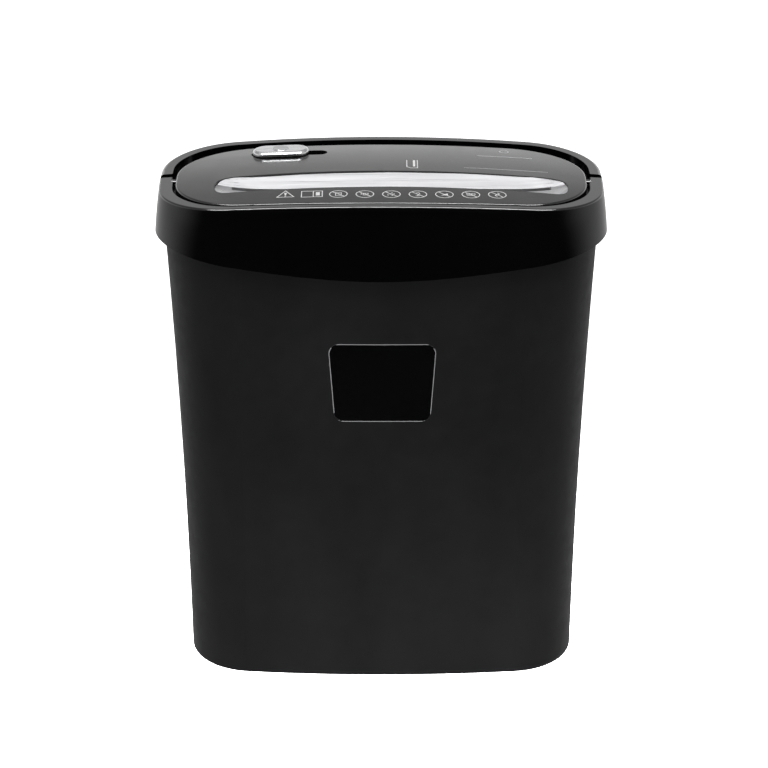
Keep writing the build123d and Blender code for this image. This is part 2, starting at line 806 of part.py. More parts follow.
def frame_plate(x0, rear_y):
    """Steel side plate with its bearing and tie rod holes."""
    with BuildPart() as plate:
        with BuildSketch(Plane.YZ.offset(x0)):
            with BuildLine():
                FilletPolyline(
                    (-56, frame_low), (rear_y, frame_low), (rear_y, frame_high),
                    (-57.5, frame_high), (-57.5, 318), radius=1, close=True,
                )
            make_face()
        extrude(amount=plate_thickness)
        # notch for the end of the throat guide
        block(
            x0 - 1, x0 + 4, slot_front - throat_wall - 0.5, slot_rear + throat_wall + 0.5, throat_low - 0.5,
            frame_high + 1, mode=Mode.SUBTRACT,
        )
        for axis in (front_axis, rear_axis):
            bar_x(x0 - 1, x0 + 5, bush_radius, axis, mode=Mode.SUBTRACT)
        for axis in tie_rods_at:
            bar_x(x0 - 1, x0 + 5, tie_radius - 1 + bore_fit, axis, mode=Mode.SUBTRACT)
    return plate


with BuildPart() as left_plate:
    add(frame_plate(plate_left, 58).part)
    bar_x(plate_left - 1, plate_left + 5, 6, motor_axis, mode=Mode.SUBTRACT)
    bar_x(plate_left - 1, plate_left + 5, idler_pin_radius, idler_axis, mode=Mode.SUBTRACT)
    for side in (-1, 1):
        at = (motor_axis[0], motor_axis[1] + side * motor_screw_offset)
        bar_x(plate_left - 1, plate_left + 5, motor_screw_radius + 0.1, at, mode=Mode.SUBTRACT)
save(left_plate, "left_frame_plate")

right_plate = frame_plate(plate_right, 22)
save(right_plate, "right_frame_plate")

with BuildPart() as shaft_bushes:
    for x0 in (plate_left, plate_right):
        for axis in (front_axis, rear_axis):
            bar_x(x0 - bush_reach, x0 + plate_thickness + bush_reach, bush_radius - bore_fit, axis)
            bar_x(x0 - 2, x0 + 5, journal_radius + running, axis, mode=Mode.SUBTRACT)
save(shaft_bushes, "shaft_bushes")

with BuildPart() as tie_rods:
    for axis in tie_rods_at:
        bar_x(plate_left + plate_thickness, plate_right, tie_radius, axis)
        bar_x(plate_left - 1.5, plate_right + plate_thickness + 1.5, tie_radius - 1, axis)
save(tie_rods, "tie_rods")


def stripper_comb(rod, axis, first_gap):
    """Bar on a tie rod with one finger in each gap between the discs."""
    reach = hypot(axis[0] - rod[0], axis[1] - rod[1])
    finger_end = reach - spacer_radius - 0.6
    with BuildPart() as comb:
        with BuildSketch(shaft_plane(cutting_start, rod, axis)) as bar:
            Rectangle(8, 8)
        extrude(bar.sketch, amount=cutting_end - cutting_start)
        for i in range(disc_count - 1):
            x0 = first_gap + i * disc_pitch - finger_width / 2
            with BuildSketch(shaft_plane(x0, rod, axis)) as finger:
                with Locations((finger_end / 2, 0)):
                    Rectangle(finger_end, 5)
            extrude(finger.sketch, amount=finger_width)
        bar_x(cutting_start - 1, cutting_end + 1, tie_radius + bore_fit, rod, mode=Mode.SUBTRACT)
    return comb


first_gap = cutting_start + (disc_width + disc_pitch) / 2
front_stripper = stripper_comb(tie_rods_at[1], front_axis, first_gap)
save(front_stripper, "front_stripper_comb")
rear_stripper = stripper_comb(tie_rods_at[3], rear_axis, first_gap + disc_pitch / 2)
save(rear_stripper, "rear_stripper_comb")

# ---- Gearbox cover, idler pin and motor

with BuildPart() as gearbox_cover:
    with BuildSketch(Plane.YZ.offset(gear_cover_x0)):
        with BuildLine():
            FilletPolyline(
                (-34, 302.2), (36, 302.2), (44, 322), (44, 342), (36, frame_high), (-34, frame_high),
                radius=3, close=True,
            )
        make_face()
    extrude(amount=gear_cover_x1 - gear_cover_x0)
    bar_x(gear_cover_x0 - 1, gear_cover_x1 + 1, idler_pin_radius, idler_axis, mode=Mode.SUBTRACT)
    bar_x(gear_cover_x1, gear_cover_x1 + 1, 5, motor_axis)
    bar_x(gear_cover_x0 - 1, gear_cover_x1 + 2, rotor_radius + running, motor_axis, mode=Mode.SUBTRACT)
    # pillars to the frame plate
    for at in ((-28, 306.5), (30, 350)):
        bar_x(gear_cover_x1 - 0.5, plate_left, 3.2, at)
save(gearbox_cover, "gearbox_cover")

with BuildPart() as idler_pin:
    bar_x(gear_cover_x0, plate_left + plate_thickness, idler_pin_radius - bore_fit, idler_axis)
save(idler_pin, "idler_pin")

with BuildPart() as motor_can:
    bar_x(motor_x0, motor_x1, motor_radius, motor_axis)
    bar_x(motor_x0 + can_wall, motor_x1 + 1, motor_radius - can_wall, motor_axis, mode=Mode.SUBTRACT)
    bar_x(motor_x0 - 1, motor_x1, rotor_radius + running, motor_axis, mode=Mode.SUBTRACT)
    # cooling slots along the can
    for turn in (60, 120, 240, 300):
        with Locations(shaft_plane((motor_x0 + motor_x1) / 2, motor_axis)):
            with Locations(Rotation(0, 0, turn)):
                Box(
                    3 * motor_radius, 5, 34, align=(Align.MIN, Align.CENTER, Align.CENTER),
                    mode=Mode.SUBTRACT,
                )
save(motor_can, "motor_can")

with BuildPart() as motor_end_cap:
    bar_x(motor_x1, cap_x1, motor_radius - 1, motor_axis)
    bar_x(motor_x1 - 1, cap_x1 - 4, motor_radius - 3, motor_axis, mode=Mode.SUBTRACT)
    bar_x(motor_x1, cap_x1 + 1, rotor_radius + running, motor_axis, mode=Mode.SUBTRACT)
    for side in (-1, 1):
        terminal_z = motor_axis[1] + side * terminal_offset
        block(cap_x1 - 6, cap_x1 + 3, motor_axis[0] - 3, motor_axis[0] + 3, terminal_z - 3, terminal_z + 3)
save(motor_end_cap, "motor_end_cap")

with BuildPart() as motor_rotor:
    bar_x(-132.5, cap_x1 - 0.5, rotor_radius, motor_axis)
    bar_x(armature_x0, armature_x1, armature_radius, motor_axis)
    bar_x(armature_x1 + 3, armature_x1 + 15, 6, motor_axis)
    with Locations(shaft_plane((armature_x0 + armature_x1) / 2, motor_axis)):
        with PolarLocations(armature_radius, armature_slots):
            Box(7, 2, armature_x1 - armature_x0 + 2, mode=Mode.SUBTRACT)
save(motor_rotor, "motor_rotor")

with BuildPart() as motor_magnets:
    bar_x(armature_x0, armature_x1, motor_radius - can_wall, motor_axis)
    bar_x(armature_x0 - 1, armature_x1 + 1, armature_radius + 1, motor_axis, mode=Mode.SUBTRACT)
    block(
        armature_x0 - 1, armature_x1 + 1, motor_axis[0] - 30, motor_axis[0] + 30, axis_z - magnet_gap_half,
        axis_z + magnet_gap_half, mode=Mode.SUBTRACT,
    )
save(motor_magnets, "motor_magnets")

pinion_phase = mating_phase(idler_to_motor, pinion_teeth)
with BuildPart() as motor_pinion:
    gear_x(large_x0 - 0.5, large_x1 + 1, motor_axis, gear_outline(fine_module, pinion_teeth, pinion_phase))
    bar_x(large_x0 - 2, large_x1 + 2, rotor_radius + bore_fit, motor_axis, mode=Mode.SUBTRACT)
save(motor_pinion, "motor_pinion")

with BuildPart() as motor_screws:
    for side in (-1, 1):
        at = (motor_axis[0], motor_axis[1] + side * motor_screw_offset)
        bar_x(plate_left - 2, plate_left, 3.5, at)
        bar_x(plate_left - 1, motor_x0, motor_screw_radius, at)
save(motor_screws, "motor_screws")

# ---- Slide switch and its knob

with BuildPart() as slide_switch:
    block(
        knob_x - switch_end, knob_x + knob_travel + switch_end, knob_y - switch_half_depth,
        knob_y + switch_half_depth, deck_top, switch_high,
    )
    block(
        knob_x - stem_half - 1, knob_x + knob_travel + stem_half + 1, knob_y - 3, knob_y + 3, switch_high - 6,
        switch_high + 1, mode=Mode.SUBTRACT,
    )
save(slide_switch, "slide_switch")

knob_floor = dome_form(knob_lift)
knob_crown = dome_form(knob_lift + knob_height)
knob_crown_z = (
    dome_apex + knob_lift + knob_height - knob_x**2 / (2 * crown_radius)
    - (knob_y - panel_centre_y) ** 2 / (2 * dome_radius)
)

with BuildPart() as knob_button:
    post(knob_x, knob_y, knob_crown_z - 1.5, knob_crown_z + button_height, button_radius)
    fillet(knob_button.faces().sort_by(Axis.Z)[-1].edges(), button_height / 2)

with BuildPart() as switch_knob:
    with BuildSketch(Plane.XY.offset(372)):
        with Locations((knob_x, knob_y)):
            SlotOverall(knob_length, knob_depth)
    extrude(amount=30)
    add(knob_crown, mode=Mode.INTERSECT)
    fillet(switch_knob.faces().sort_by(Axis.Z)[-1].edges(), knob_edge)
    add(knob_button.part)
    add(knob_floor, mode=Mode.SUBTRACT)
    block(
        knob_x - stem_half, knob_x + stem_half, knob_y - stem_half, knob_y + stem_half, switch_high - 4,
        knob_crown_z - 2,
    )
save(switch_knob, "switch_knob")

# ---- Interlock, paper sensor, circuit board and cord gland

with BuildPart() as interlock_switch:
    block(tab_x - 4, tab_x + 16, tab_y - 8, tab_y + 3.5, flange_low + flange_thickness, 358)
    post(tab_x, tab_y, 340, 356.6, 1.85, mode=Mode.SUBTRACT)
save(interlock_switch, "interlock_switch")

with BuildPart() as interlock_plunger:
    post(tab_x, tab_y, bin_height + 0.2, 354.6, 1.8)
    fillet(interlock_plunger.faces().sort_by(Axis.Z)[0].edges(), 0.8)
save(interlock_plunger, "interlock_plunger")

with BuildPart() as sensor_lever:
    bar_x(sensor_x - lever_half, sensor_x + lever_half, sensor_hub, sensor_axis)
    with BuildSketch(Plane.YZ.offset(sensor_x - lever_half)):
        with BuildLine():
            Polyline(
                (sensor_axis[0], sensor_axis[1] - 1.4), (sensor_axis[0], sensor_axis[1] + 1.4),
                (sensor_tip_y, 362.5), (sensor_tip_y, 360.5), close=True,
            )
        make_face()
    extrude(amount=2 * lever_half)
    bar_x(sensor_x - 3, sensor_x + 3, sensor_pin_radius + running, sensor_axis, mode=Mode.SUBTRACT)
save(sensor_lever, "paper_sensor_lever")

with BuildPart() as sensor_bracket:
    block(sensor_x - 5, sensor_x + 5, -17.7, -5, deck_top, deck_top + 2)
    block(
        sensor_x - sensor_slit, sensor_x + sensor_slit, -18, sensor_notch_y, deck_top - 1, deck_top + 3,
        mode=Mode.SUBTRACT,
    )
    for side in (-1, 1):
        x0, x1 = sorted((sensor_x + side * 2.3, sensor_x + side * 5))
        block(x0, x1, -17.7, -11, deck_top, 370)
    bar_x(sensor_x - 6, sensor_x + 6, sensor_pin_radius, sensor_axis, mode=Mode.SUBTRACT)
save(sensor_bracket, "paper_sensor_bracket")

with BuildPart() as sensor_pin:
    bar_x(sensor_x - 5.5, sensor_x + 5.5, sensor_pin_radius, sensor_axis)
save(sensor_pin, "paper_sensor_pin")

board_holes = [
    (x, y)
    for x in (board_x0 + board_hole_inset, board_x1 - board_hole_inset)
    for y in (board_y0 + board_hole_inset, board_y1 - board_hole_inset)
]

with BuildPart() as circuit_board:
    block(board_x0, board_x1, board_y0, board_y1, board_low, board_top)
    for x, y in board_holes:
        post(x, y, board_low - 1, board_low + 5, 1.6, mode=Mode.SUBTRACT)
save(circuit_board, "circuit_board")

with BuildPart() as board_components:
    post(18, 38, board_top, board_top + 26, 9)
    block(34, 53, 28, 44, board_top, board_top + 16)
    block(58, 78, 37, 46, board_top, board_top + 11)
    block(60, 76, 24, 30, board_top, board_top + 20)
    block(30, 44, 48, 54, board_top, board_top + 6)
save(board_components, "board_components")

with BuildPart() as board_standoffs:
    for x, y in board_holes:
        post(x, y, cover_low + cover_floor, board_low, standoff_radius)
save(board_standoffs, "board_standoffs")

with BuildPart() as board_screws:
    for x, y in board_holes:
        post(x, y, board_top, board_top + 1.8, 2.8)
        post(x, y, board_low, board_top + 0.5, 1.5)
save(board_screws, "board_screws")

gland_face = Plane(origin=(gland_x, gland_outer_y, gland_z), x_dir=(1, 0, 0), z_dir=(0, -1, 0))

with BuildPart() as cord_gland:
    with BuildSketch(gland_face):
        Circle(gland_flange)
    extrude(amount=5)
    add(skirt_form.part, mode=Mode.SUBTRACT)
    with BuildSketch(gland_face):
        Circle(gland_radius)
    extrude(amount=gland_outer_y - gland_inner_y)
    with BuildSketch(gland_face.offset(-5)):
        Circle(gland_bore)
    extrude(amount=30, mode=Mode.SUBTRACT)
save(cord_gland, "cord_gland")
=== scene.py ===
import math

import bmesh
import bpy
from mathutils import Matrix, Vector
from mathutils.bvhtree import BVHTree


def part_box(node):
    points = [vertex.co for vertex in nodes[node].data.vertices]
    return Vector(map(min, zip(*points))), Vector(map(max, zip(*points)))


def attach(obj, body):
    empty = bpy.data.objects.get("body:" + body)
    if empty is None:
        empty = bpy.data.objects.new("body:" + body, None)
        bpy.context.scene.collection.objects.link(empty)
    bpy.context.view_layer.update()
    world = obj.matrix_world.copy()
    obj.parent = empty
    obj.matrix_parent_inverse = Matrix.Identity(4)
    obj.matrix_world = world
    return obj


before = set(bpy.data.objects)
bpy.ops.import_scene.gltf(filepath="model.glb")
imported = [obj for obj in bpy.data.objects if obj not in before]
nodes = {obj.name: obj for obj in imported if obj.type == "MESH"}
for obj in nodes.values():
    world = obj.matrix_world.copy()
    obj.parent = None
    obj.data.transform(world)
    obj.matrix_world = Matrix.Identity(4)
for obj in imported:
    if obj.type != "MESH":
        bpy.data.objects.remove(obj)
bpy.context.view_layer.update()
MM = 0.001

# ---- Camera, light and floor

scene = bpy.context.scene
scene.view_settings.view_transform = "Standard"
scene.view_settings.look = "None"

camera_data = bpy.data.cameras.new("camera")
camera_data.sensor_width = 36.0
camera_data.lens = 158.54
camera_data.clip_end = 50.0
camera = bpy.data.objects.new("camera", camera_data)
camera.location = (0.002, -2.300, 1.1727)
camera.rotation_euler = (math.radians(67.38), 0.0, 0.0)
scene.collection.objects.link(camera)
scene.camera = camera


def tree(material_or_world):
    """Node tree of a material or world, emptied, with its output node."""
    material_or_world.use_nodes = True
    made = material_or_world.node_tree
    made.nodes.clear()
    is_world = isinstance(material_or_world, bpy.types.World)
    return made, made.nodes.new("ShaderNodeOutputWorld" if is_world else "ShaderNodeOutputMaterial")


def node(made, kind, **settings):
    """New shader node. Settings name an attribute, or an input when they are given in the dict inputs."""
    new = made.nodes.new(kind)
    for name, value in settings.pop("inputs", {}).items():
        new.inputs[name].default_value = value
    for name, value in settings.items():
        setattr(new, name, value)
    return new


def ramp(made, value, start, end, low, high, interpolation="SMOOTHSTEP"):
    """Value mapped from start..end to low..high."""
    mapped = node(made, "ShaderNodeMapRange", interpolation_type=interpolation,
                  inputs={"From Min": start, "From Max": end, "To Min": low, "To Max": high})
    made.links.new(value, mapped.inputs["Value"])
    return mapped.outputs["Result"]


TOWARDS_LIGHT = (0.0, 0.9, 1.0)    # behind and above


def studio_world():
    """Soft studio: bright above, brightest low behind, grey below the horizon, dark in front."""
    world = bpy.data.worlds.new("studio")
    scene.world = world
    made, out = tree(world)
    direction = node(made, "ShaderNodeTexCoord")
    towards = node(made, "ShaderNodeVectorMath", operation="DOT_PRODUCT")
    towards.inputs[1].default_value = TOWARDS_LIGHT
    made.links.new(direction.outputs["Generated"], towards.inputs[0])
    height = node(made, "ShaderNodeSeparateXYZ")
    made.links.new(direction.outputs["Generated"], height.inputs["Vector"])
    strength = ramp(made, towards.outputs["Value"], -0.75, 0.1, 0.0, 1.05)
    low_glow = ramp(made, height.outputs["Z"], 0.1, 0.42, 1.85, 0.74)
    ground = ramp(made, height.outputs["Z"], -0.2, 0.02, 0.4, 1.0)
    for factor in (low_glow, ground):
        product = node(made, "ShaderNodeMath", operation="MULTIPLY")
        made.links.new(strength, product.inputs[0])
        made.links.new(factor, product.inputs[1])
        strength = product.outputs["Value"]
    background = node(made, "ShaderNodeBackground")
    made.links.new(strength, background.inputs["Strength"])
    plain = node(made, "ShaderNodeBackground", inputs={"Strength": 1.0})
    rays = node(made, "ShaderNodeLightPath")
    mix = node(made, "ShaderNodeMixShader")
    made.links.new(rays.outputs["Is Camera Ray"], mix.inputs["Fac"])
    made.links.new(background.outputs["Background"], mix.inputs[1])
    made.links.new(plain.outputs["Background"], mix.inputs[2])
    made.links.new(mix.outputs["Shader"], out.inputs["Surface"])


studio_world()


def area_light(name, at, aim, size, watts, reflected=True, lighting=True):
    """Soft rectangular light that looks from one point towards another.

    It can be left out of reflections, or out of everything but them.
    """
    data = bpy.data.lights.new(name, "AREA")
    data.shape = "RECTANGLE"
    data.size, data.size_y = size
    data.energy = watts
    light = bpy.data.objects.new(name, data)
    light.location = at
    light.rotation_mode = "QUATERNION"
    light.rotation_quaternion = (Vector(aim) - Vector(at)).to_track_quat("-Z", "Y")
    light.visible_glossy = reflected
    light.visible_diffuse = lighting
    scene.collection.objects.link(light)


area_light("top_box", (0.0, 0.1, 2.4), (0.0, 0.0, 0.2), (2.2, 1.6), 14.0)
area_light("left_strip", (-1.9, -0.6, 0.7), (0.0, 0.0, 0.2), (0.5, 1.4), 5.0, reflected=False)
area_light("right_strip", (1.9, -0.6, 0.7), (0.0, 0.0, 0.2), (0.5, 1.4), 5.0, reflected=False)
area_light("edge_light", (0.0, -1.05, 2.19), (0.0, 0.0, 0.37), (3.0, 0.85), 210.0, lighting=False)


def floor():
    """Pale floor, lit from within like a light table, most of all near the object, and not reflected."""
    mesh = bpy.data.meshes.new("floor")
    reach = 12.0
    mesh.from_pydata(
        [(-reach, -reach, 0), (reach, -reach, 0), (reach, reach, 0), (-reach, reach, 0)], [], [(0, 1, 2, 3)]
    )
    made_floor = bpy.data.objects.new("floor", mesh)
    made_floor.location = (0.0, 0.0, -0.0004)
    scene.collection.objects.link(made_floor)
    material = bpy.data.materials.new("floor_white")
    made, out = tree(material)
    diffuse = node(made, "ShaderNodeBsdfDiffuse", inputs={"Color": (0.8, 0.8, 0.8, 1.0)})
    glow = node(made, "ShaderNodeEmission")
    place = node(made, "ShaderNodeTexCoord")
    distance = node(made, "ShaderNodeVectorMath", operation="LENGTH")
    made.links.new(place.outputs["Object"], distance.inputs[0])
    pool = ramp(made, distance.outputs["Value"], 0.15, 0.55, 5.0, 1.0)
    made.links.new(pool, glow.inputs["Strength"])
    both = node(made, "ShaderNodeAddShader")
    made.links.new(diffuse.outputs[0], both.inputs[0])
    made.links.new(glow.outputs[0], both.inputs[1])
    made.links.new(both.outputs[0], out.inputs["Surface"])
    mesh.materials.append(material)
    made_floor.visible_glossy = False


floor()

# ---- Materials


class Finish:
    """Principled material whose colour, roughness and bump vary with object coordinates in metres."""

    def __init__(self, name, colour, roughness, metallic=0.0, **constants):
        self.material = bpy.data.materials.new(name)
        self.tree, out = tree(self.material)
        self.shader = node(self.tree, "ShaderNodeBsdfPrincipled")
        self.shader.inputs["Base Color"].default_value = (*colour, 1.0)
        self.shader.inputs["Roughness"].default_value = roughness
        self.shader.inputs["Metallic"].default_value = metallic
        for socket, value in constants.items():
            self.shader.inputs[socket.replace("_", " ")].default_value = value
        self.tree.links.new(self.shader.outputs[0], out.inputs["Surface"])
        self.place = node(self.tree, "ShaderNodeTexCoord").outputs["Object"]
        self.heights = []
        self.colour, self.roughness = colour, roughness

    def noise(self, scale, stretch=(1, 1, 1), detail=2.0, rough=0.5):
        """Noise of the object coordinates; scale is features per metre."""
        mapping = node(self.tree, "ShaderNodeMapping", inputs={"Scale": stretch})
        self.tree.links.new(self.place, mapping.inputs["Vector"])
        texture = node(
            self.tree, "ShaderNodeTexNoise", inputs={"Scale": scale, "Detail": detail, "Roughness": rough}
        )
        self.tree.links.new(mapping.outputs["Vector"], texture.inputs["Vector"])
        return texture.outputs["Fac"]

    def spread(self, value, low, high, start=0.3, end=0.7):
        """Value mapped from start..end to low..high."""
        return ramp(self.tree, value, start, end, low, high, "LINEAR")

    def rough_from(self, value, change, start=0.3, end=0.7):
        """Roughness varies by +/- change with the value."""
        link = self.spread(value, self.roughness - change, self.roughness + change, start, end)
        self.tree.links.new(link, self.shader.inputs["Roughness"])
        return self

    def colour_from(self, value, other, start=0.3, end=0.7):
        """Colour goes from the base colour to the other colour with the value."""
        mix = node(self.tree, "ShaderNodeMix", data_type="RGBA")
        for socket in mix.inputs:
            if socket.identifier == "A_Color":
                socket.default_value = (*self.colour, 1.0)
            if socket.identifier == "B_Color":
                socket.default_value = (*other, 1.0)
        self.tree.links.new(self.spread(value, 0.0, 1.0, start, end), mix.inputs[0])
        result = next(socket for socket in mix.outputs if socket.identifier == "Result_Color")
        self.tree.links.new(result, self.shader.inputs["Base Color"])
        return self

    def bump_from(self, value, depth, strength=1.0):
        """Relief from the value, depth in metres."""
        bump = node(self.tree, "ShaderNodeBump", inputs={"Strength": strength, "Distance": depth})
        self.tree.links.new(value, bump.inputs["Height"])
        if self.heights:
            self.tree.links.new(self.heights[-1], bump.inputs["Normal"])
        self.heights.append(bump.outputs["Normal"])
        self.tree.links.new(bump.outputs["Normal"], self.shader.inputs["Normal"])
        return self


def moulded(name, colour, roughness, grain_depth, grain=2600.0, lighter=1.5, **constants):
    """Moulded plastic with a spark-eroded grain, soft flow variation and a little dust."""
    made = Finish(name, colour, roughness, **constants)
    flow = made.noise(14.0, (1, 1, 0.5), 3.0)
    made.colour_from(flow, tuple(channel * lighter for channel in colour), 0.35, 0.75)
    made.rough_from(made.noise(90.0, (1, 1, 1), 3.0), 0.05)
    made.bump_from(made.noise(grain, (1, 1, 1), 3.0, 0.6), grain_depth)
    return made


def glossy(name, colour, roughness, wave=0.00002):
    """Polished moulded plastic with a slight waviness and a few faint wipe marks."""
    made = Finish(name, colour, roughness)
    made.rough_from(made.noise(55.0, (1, 0.25, 0.25), 4.0, 0.6), roughness * 0.35)
    made.colour_from(made.noise(9.0), tuple(channel * 1.6 for channel in colour))
    made.bump_from(made.noise(38.0, (1, 1, 1), 1.0), wave)
    return made


def metal(name, colour, roughness, stretch, brush=900.0, depth=0.000004, dark=0.8, metallic=1.0):
    """Metal, or metallic paint, with brushed or turned lines along its long direction."""
    made = Finish(name, colour, roughness, metallic)
    lines = made.noise(brush, stretch, 3.0, 0.65)
    made.rough_from(lines, roughness * 0.35)
    made.colour_from(made.noise(brush * 0.4, stretch, 2.0), tuple(channel * dark for channel in colour))
    made.bump_from(lines, depth)
    return made


ALONG_X = (0.012, 1.0, 1.0)
ROUND_X = (1.0, 0.03, 0.03)
EVEN = (1.0, 1.0, 1.0)

finishes = {
    "bin_plastic": moulded("bin_plastic", (0.0042, 0.0042, 0.0046), 0.5, 0.00003, Specular_IOR_Level=0.15),
    "window": glossy("window", (0.0012, 0.0012, 0.0013), 0.05),
    "gloss_black": glossy("gloss_black", (0.0009, 0.0009, 0.001), 0.09),
    "panel_black": glossy("panel_black", (0.003, 0.003, 0.0031), 0.16, 0.00001),
    "brushed_silver": metal("brushed_silver", (0.4, 0.4, 0.41), 0.36, ALONG_X, 900.0, 0.000006, 0.84, 0.55),
    "silver_knob": metal("silver_knob", (0.5, 0.5, 0.51), 0.24, ALONG_X, 700.0),
    "inner_plastic": moulded("inner_plastic", (0.02, 0.02, 0.021), 0.5, 0.00002, 1800.0),
    "steel": metal("steel", (0.56, 0.57, 0.58), 0.34, (1.0, 0.05, 0.05), 500.0),
    "hard_steel": metal("hard_steel", (0.42, 0.42, 0.43), 0.3, ROUND_X, 800.0, dark=0.6),
    "zinc_steel": metal("zinc_steel", (0.66, 0.67, 0.66), 0.3, EVEN, 300.0, dark=0.85),
    "bronze": metal("bronze", (0.52, 0.34, 0.16), 0.4, EVEN, 900.0, dark=0.7),
    "gear_nylon": moulded("gear_nylon", (0.75, 0.73, 0.66), 0.42, 0.00001, 1200.0, 1.06),
    "magnet": moulded("magnet", (0.045, 0.043, 0.042), 0.6, 0.00002, 2200.0),
    "board_green": moulded("board_green", (0.015, 0.11, 0.045), 0.32, 0.000015, 700.0, 1.4),
    "component_black": moulded("component_black", (0.02, 0.02, 0.021), 0.4, 0.00001, 2000.0),
    "red_plastic": moulded("red_plastic", (0.42, 0.016, 0.014), 0.36, 0.00001, 1600.0, 1.15),
    "rubber": moulded("rubber", (0.014, 0.014, 0.014), 0.7, 0.00002, 1500.0),
}


for obj in nodes.values():
    for place in obj.material_slots:
        place.material = finishes[place.material.name.split(".")[0]].material

# ---- Thin raised marks and lines that lie on a surface


def surface_tree(*names):
    """Tree of the CAD nodes' triangles for ray casts."""
    made = bmesh.new()
    for name in names:
        made.from_mesh(nodes[name].data)
    found = BVHTree.FromBMesh(made)
    made.free()
    return found


def onto(surface, start, direction):
    """Point and outward normal where a ray meets a surface, or None."""
    for nudge in (0.0, 0.02 * MM, -0.03 * MM):    # past the hairline joints of the triangles
        at, normal, _, _ = surface.ray_cast(Vector(start) + Vector((nudge, nudge, nudge)), Vector(direction))
        if at is not None:
            break
    if at is None:
        return None
    if normal.dot(Vector(direction)) > 0:
        normal = -normal
    return at, normal


def resampled(points, step, closed):
    """The polyline's points with extra ones, so that no run is longer than step."""
    ends = points + points[:1] if closed else points
    made = []
    for a, b in zip(ends, ends[1:]):
        parts = max(1, math.ceil(math.dist(a, b) / step))
        made += [tuple(p + (q - p) * k / parts for p, q in zip(a, b)) for k in range(parts)]
    return made if closed else made + [points[-1]]


def sides_of(points, width, closed):
    """Left and right points of a flat ribbon along a 2-D polyline, mitred at the corners."""
    count = len(points)
    pairs = []
    for i, (x, y) in enumerate(points):
        before = points[i - 1] if closed or i > 0 else None
        after = points[(i + 1) % count] if closed or i < count - 1 else None
        directions = []
        if before:
            directions.append(Vector((x - before[0], y - before[1])).normalized())
        if after:
            directions.append(Vector((after[0] - x, after[1] - y)).normalized())
        along = sum(directions, Vector((0.0, 0.0))).normalized()
        across = Vector((-along.y, along.x))
        reach = width / 2 / max(0.4, across.dot(Vector((-directions[0].y, directions[0].x))))
        side_x, side_y = across.x * reach, across.y * reach
        pairs.append(((x + side_x, y + side_y), (x - side_x, y - side_y)))
    return pairs


class Inlay:
    """Closed thin solids that lie on a surface, drawn with 2-D shapes and cast along a direction."""

    def __init__(self, surface, lift, sink, project):
        self.surface, self.lift, self.sink, self.project = surface, lift, sink, project
        self.mesh = bmesh.new()

    def pair(self, point):
        """Upper and lower vertex of a 2-D point, or None where the surface is missing."""
        hit = onto(self.surface, *self.project(point))
        if hit is None:
            return None
        at, normal = hit
        return self.mesh.verts.new(at + normal * self.lift), self.mesh.verts.new(at - normal * self.sink)

    def line(self, points, width, closed=False, step=0.0018):
        """Ribbon along a polyline."""
        points = resampled(points, step, closed)
        columns = [(self.pair(a), self.pair(b)) for a, b in sides_of(points, width, closed)]
        if any(one is None or two is None for one, two in columns):
            return
        runs = list(zip(columns, columns[1:])) + ([(columns[-1], columns[0])] if closed else [])
        for ((a_up, a_low), (b_up, b_low)), ((c_up, c_low), (d_up, d_low)) in runs:
            self.mesh.faces.new((a_up, b_up, d_up, c_up))
            self.mesh.faces.new((a_low, c_low, d_low, b_low))
            self.mesh.faces.new((a_up, c_up, c_low, a_low))
            self.mesh.faces.new((b_up, b_low, d_low, d_up))
        if not closed:
            for ((a_up, a_low), (b_up, b_low)), flip in ((columns[0], False), (columns[-1], True)):
                corners = (a_up, a_low, b_low, b_up)
                self.mesh.faces.new(corners[::-1] if flip else corners)

    def patch(self, points):
        """Filled convex shape."""
        columns = [self.pair(point) for point in points]
        if None in columns:
            return
        self.mesh.faces.new([up for up, _ in columns])
        self.mesh.faces.new([low for _, low in reversed(columns)])
        for (a_up, a_low), (b_up, b_low) in zip(columns, columns[1:] + columns[:1]):
            self.mesh.faces.new((a_up, a_low, b_low, b_up))

    def finish(self, name, body, slot):
        """The drawn shapes as one piece that rides on a body."""
        bmesh.ops.recalc_face_normals(self.mesh, faces=self.mesh.faces[:])
        return piece(self.mesh, name, body, slot)


def piece(mesh, name, body, slot, smooth=False):
    """Object from a bmesh, riding on a body, with the finish of one of the record's slots or its own."""
    data = bpy.data.meshes.new(name)
    mesh.to_mesh(data)
    mesh.free()
    data.materials.append(finishes[slot].material)
    data.polygons.foreach_set("use_smooth", [smooth] * len(data.polygons))
    made = bpy.data.objects.new(name, data)
    scene.collection.objects.link(made)
    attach(made, body)
    return made


def ring(x, y, radius, count=36, turn=0.0):
    """Points of a circle."""
    angles = [turn + 2 * math.pi * k / count for k in range(count)]
    return [(x + radius * math.cos(a), y + radius * math.sin(a)) for a in angles]


def moved(points, x, y, scale=MM):
    """Points in millimetres, set down at a place in metres."""
    return [(x + px * scale, y + py * scale) for px, py in points]


def rounded(corners, radius, steps=6):
    """Closed outline of the corners with round corners."""
    made = []
    count = len(corners)
    for i, corner in enumerate(corners):
        here = Vector(corner)
        back = (Vector(corners[i - 1]) - here).normalized()
        ahead = (Vector(corners[(i + 1) % count]) - here).normalized()
        half = math.acos(max(-1.0, min(1.0, back.dot(ahead)))) / 2
        start, end = here + back * radius / math.tan(half), here + ahead * radius / math.tan(half)
        centre = here + (back + ahead).normalized() * radius / math.sin(half)
        for k in range(steps + 1):
            mid = start.lerp(end, k / steps) - centre
            made.append(tuple(centre + mid.normalized() * radius))
    return made


